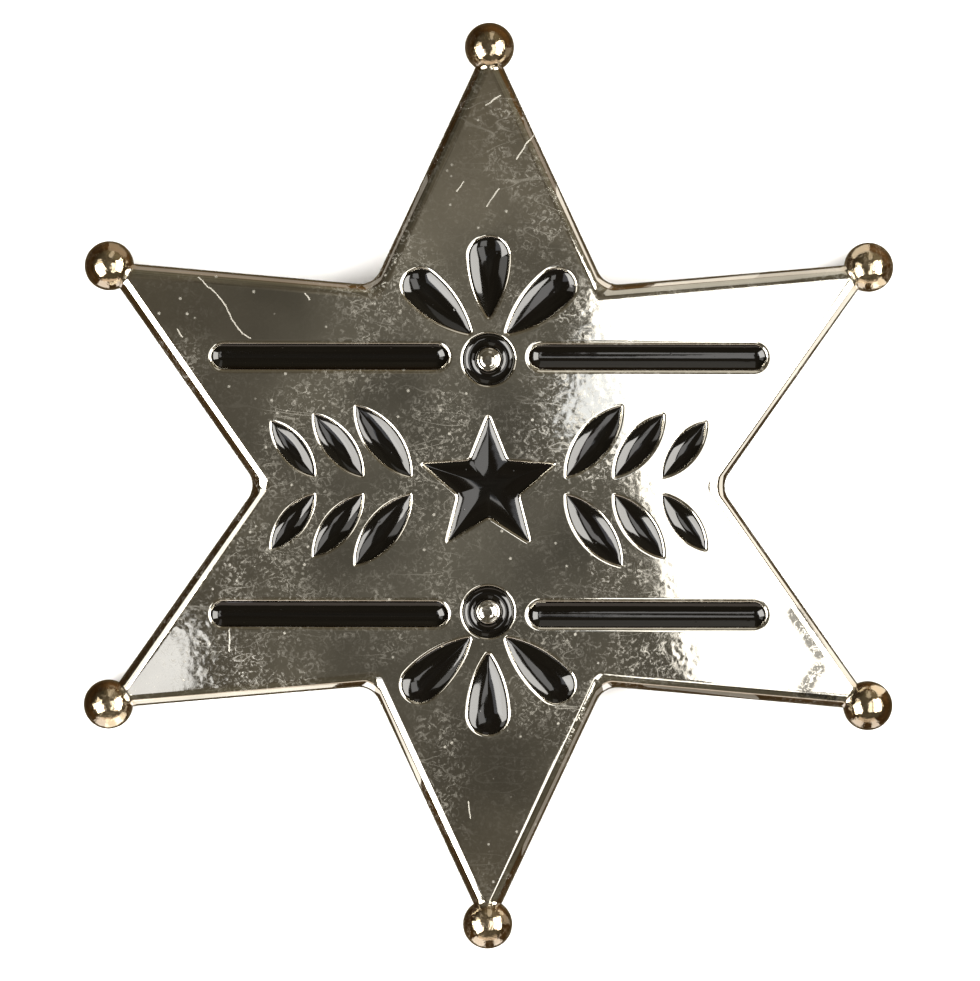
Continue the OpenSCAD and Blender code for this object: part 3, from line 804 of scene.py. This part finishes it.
for name, kind, at, turn, sizes in cells:
    fill = bmesh.new()
    OUTLINES[kind](fill, sizes, -GAP)
    cut_long_edges(fill, 0.4)
    bmesh.ops.translate(fill, verts=fill.verts, vec=(0, 0, GAP - CELL_DEPTH))
    raised = bmesh.ops.extrude_face_region(fill, geom=fill.faces[:], use_keep_orig=True)["geom"]
    top = [f for f in raised if isinstance(f, bmesh.types.BMFace)]
    edge, hollow = -LIP_DROP * LIPS[kind], HOLLOWS[kind]
    lower(top, edge, hollow, 1)
    if kind == "bar":
        hollow_by_inset(fill, top, edge, hollow, sizes[1] / 2 - GAP)
    elif kind == "ring":
        hollow_by_inset(fill, top, edge, hollow, (sizes[0] - sizes[1]) / 2 - GAP)
    else:
        # A petal is hollowed towards its round end
        centre_x = {"star": 0, "leaf": sizes[0] / 2, "petal": sizes[0] - 0.25 * sizes[1]}[kind]
        hollow_by_scale(fill, top, edge, hollow, centre_x)
    place(fill, at, turn)
    lift(fill)
    bmesh.ops.recalc_face_normals(fill, faces=fill.faces)
    drop = finish_mesh(fill, "enamel_" + name, enamel)
    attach(drop, "root")
    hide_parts(name)

# Pin clasp
# A strip of plated steel, bent to the back of the dome and riveted on the two studs, with a rolled
# barrel at each end. The wire runs from the hinge barrel through the catch barrel to its point.
STRIP_L, STRIP_W, STRIP_T, STRIP_Z = 28.0, 4.0, 0.7, -1.85
HOLE_R = STUD_R + 0.05
STRIP_CORNER_R = 0.7
BARREL_R, BARREL_L, PIN_Z = 1.2, 3.0, 1.5
EAR_L, EAR_W = 2.7, 1.8
STRIP_EDGE, BARREL_EDGE, EAR_EDGE = 0.1, 0.2, 0.15  # how far the sharp edges are broken
WIRE_R = 0.45
POINT = ((0.3, 0.435), (0.5, 0.36), (0.45, 0.23), (0.25, 0.13), (0.1, 0.05))  # lengths, end radii
barrel_x = (STRIP_L - BARREL_L) / 2

# Nickel plate on cold-rolled steel: satin, a little greyer than the casting, with faint stains
steel, steel_out = new_material("nickel_plated_steel")
steel_place = (add_node(steel, "ShaderNodeTexCoord"), "Object")
# Drawing marks run along the strip and the wire, about 0.2 mm apart, which is as fine as shows
marks = add_node(steel, "ShaderNodeTexNoise", inputs={
    "Vector": add_node(steel, "ShaderNodeMapping", inputs={
        "Vector": steel_place, "Scale": (0.04, 1.0, 1.0)}), "Scale": 1 / 0.00022, "Detail": 3.0})
stains = add_node(steel, "ShaderNodeTexNoise", inputs={
    "Vector": steel_place, "Scale": 1 / 0.003, "Detail": 4.0, "Roughness": 0.6})
steel_tone = add_node(steel, "ShaderNodeValToRGB", inputs={"Fac": stains})
shades = steel_tone.color_ramp.elements
shades[0].position, shades[0].color = 0.35, srgb("b4b0a8")
shades[1].position, shades[1].color = 0.7, srgb("d2d0cb")
steel_rough = add_node(steel, "ShaderNodeMapRange", inputs={
    "Value": marks, "From Min": 0.3, "From Max": 0.7, "To Min": 0.18, "To Max": 0.36})
steel_bump = add_node(steel, "ShaderNodeBump", inputs={
    "Strength": 1.0, "Distance": 0.000004, "Height": marks})
steel_shader = add_node(steel, "ShaderNodeBsdfPrincipled", inputs={
    "Base Color": steel_tone, "Metallic": 1.0, "Roughness": steel_rough, "Normal": steel_bump})
steel.node_tree.links.new(steel_shader.outputs[0], steel_out.inputs["Surface"])

pin = bmesh.new()
corners = bmesh.ops.create_grid(pin, x_segments=1, y_segments=1, size=0.5)["verts"]
bmesh.ops.scale(pin, verts=corners, vec=(STRIP_L, STRIP_W, 1))
round_corners(pin, corners, STRIP_CORNER_R)
bmesh.ops.delete(pin, geom=pin.faces[:], context="FACES_ONLY")
cut_long_edges(pin, 1.0)
for side in (-1, 1):
    hole = bmesh.ops.create_circle(pin, segments=40, radius=HOLE_R)["verts"]
    bmesh.ops.translate(pin, verts=hole, vec=(side * STUD_X, 0, 0))
bmesh.ops.triangle_fill(pin, use_beauty=True, edges=pin.edges[:])
# Cut across at each millimetre, so that the strip follows the dome
for line in range(-13, 14):
    bmesh.ops.bisect_plane(pin, geom=pin.verts[:] + pin.edges[:] + pin.faces[:], dist=0.001,
                           plane_co=(line, 0, 0), plane_no=(1, 0, 0))
bmesh.ops.translate(pin, verts=pin.verts, vec=(0, STUD_Y, STRIP_Z))
raised = bmesh.ops.extrude_face_region(pin, geom=pin.faces[:], use_keep_orig=True)["geom"]
bmesh.ops.translate(pin, verts=[v for v in raised if isinstance(v, bmesh.types.BMVert)],
                    vec=(0, 0, -STRIP_T))
bmesh.ops.recalc_face_normals(pin, faces=pin.faces)
rims = [e for e in pin.edges if abs(e.calc_face_angle(0) - math.pi / 2) < 0.01
        and abs(e.verts[0].co.z - e.verts[1].co.z) < 0.001]
bmesh.ops.bevel(pin, geom=rims, offset=STRIP_EDGE, offset_type="OFFSET", segments=3, profile=0.5,
                affect="EDGES", material=-1)
lift(pin)


def add_barrel(x):
    """A barrel with the ear that carries it, both with their edges broken."""
    barrel = bmesh.new()
    bmesh.ops.create_cone(barrel, segments=48, radius1=BARREL_R, radius2=BARREL_R, depth=BARREL_L,
                          cap_ends=True)
    ends = [e for e in barrel.edges if abs(e.verts[0].co.z - e.verts[1].co.z) < 0.001]
    bmesh.ops.bevel(barrel, geom=ends, offset=BARREL_EDGE, offset_type="OFFSET", segments=4,
                    profile=0.5, affect="EDGES", material=-1)
    bmesh.ops.rotate(barrel, verts=barrel.verts, matrix=Matrix.Rotation(math.pi / 2, 3, "Y"))
    bmesh.ops.translate(barrel, verts=barrel.verts, vec=(x, STUD_Y, PIN_Z))
    join(pin, barrel)
    ear = bmesh.new()
    top = dome(x, STUD_Y) + STRIP_Z - STRIP_T / 2
    bmesh.ops.create_cube(ear, size=1)
    bmesh.ops.scale(ear, verts=ear.verts, vec=(EAR_L, EAR_W, top - PIN_Z))
    upright = [e for e in ear.edges if abs(e.verts[0].co.z - e.verts[1].co.z) > 0.001]
    bmesh.ops.bevel(ear, geom=upright, offset=EAR_EDGE, offset_type="OFFSET", segments=3,
                    profile=0.5, affect="EDGES", material=-1)
    bmesh.ops.translate(ear, verts=ear.verts, vec=(x, STUD_Y, (top + PIN_Z) / 2))
    join(pin, ear)


add_barrel(-barrel_x)
add_barrel(barrel_x)

# The wire, with its point drawn out in steps to a fine round end
wire = bmesh.new()
wire_l = barrel_x + STRIP_L / 2
bmesh.ops.create_cone(wire, segments=32, radius1=WIRE_R, radius2=WIRE_R, depth=wire_l, cap_ends=True)
bmesh.ops.translate(wire, verts=wire.verts, vec=(0, 0, wire_l / 2))
last_r = WIRE_R
end = [f for f in wire.faces if min(v.co.z for v in f.verts) > wire_l - 0.001]
for length, radius in POINT:
    out = bmesh.ops.extrude_discrete_faces(wire, faces=end)
    end = out["faces"]
    tip = list(end[0].verts)
    bmesh.ops.translate(wire, verts=tip, vec=(0, 0, length))
    bmesh.ops.scale(wire, verts=tip, vec=(radius / last_r, radius / last_r, 1))
    last_r = radius
bmesh.ops.rotate(wire, verts=wire.verts, matrix=Matrix.Rotation(math.pi / 2, 3, "Y"))
bmesh.ops.translate(wire, verts=wire.verts, vec=(-barrel_x, STUD_Y, PIN_Z))
join(pin, wire)

bmesh.ops.recalc_face_normals(pin, faces=pin.faces)
pin_piece = finish_mesh(pin, "pin_and_strip", steel)
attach(pin_piece, "root")
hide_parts("pin_clasp")
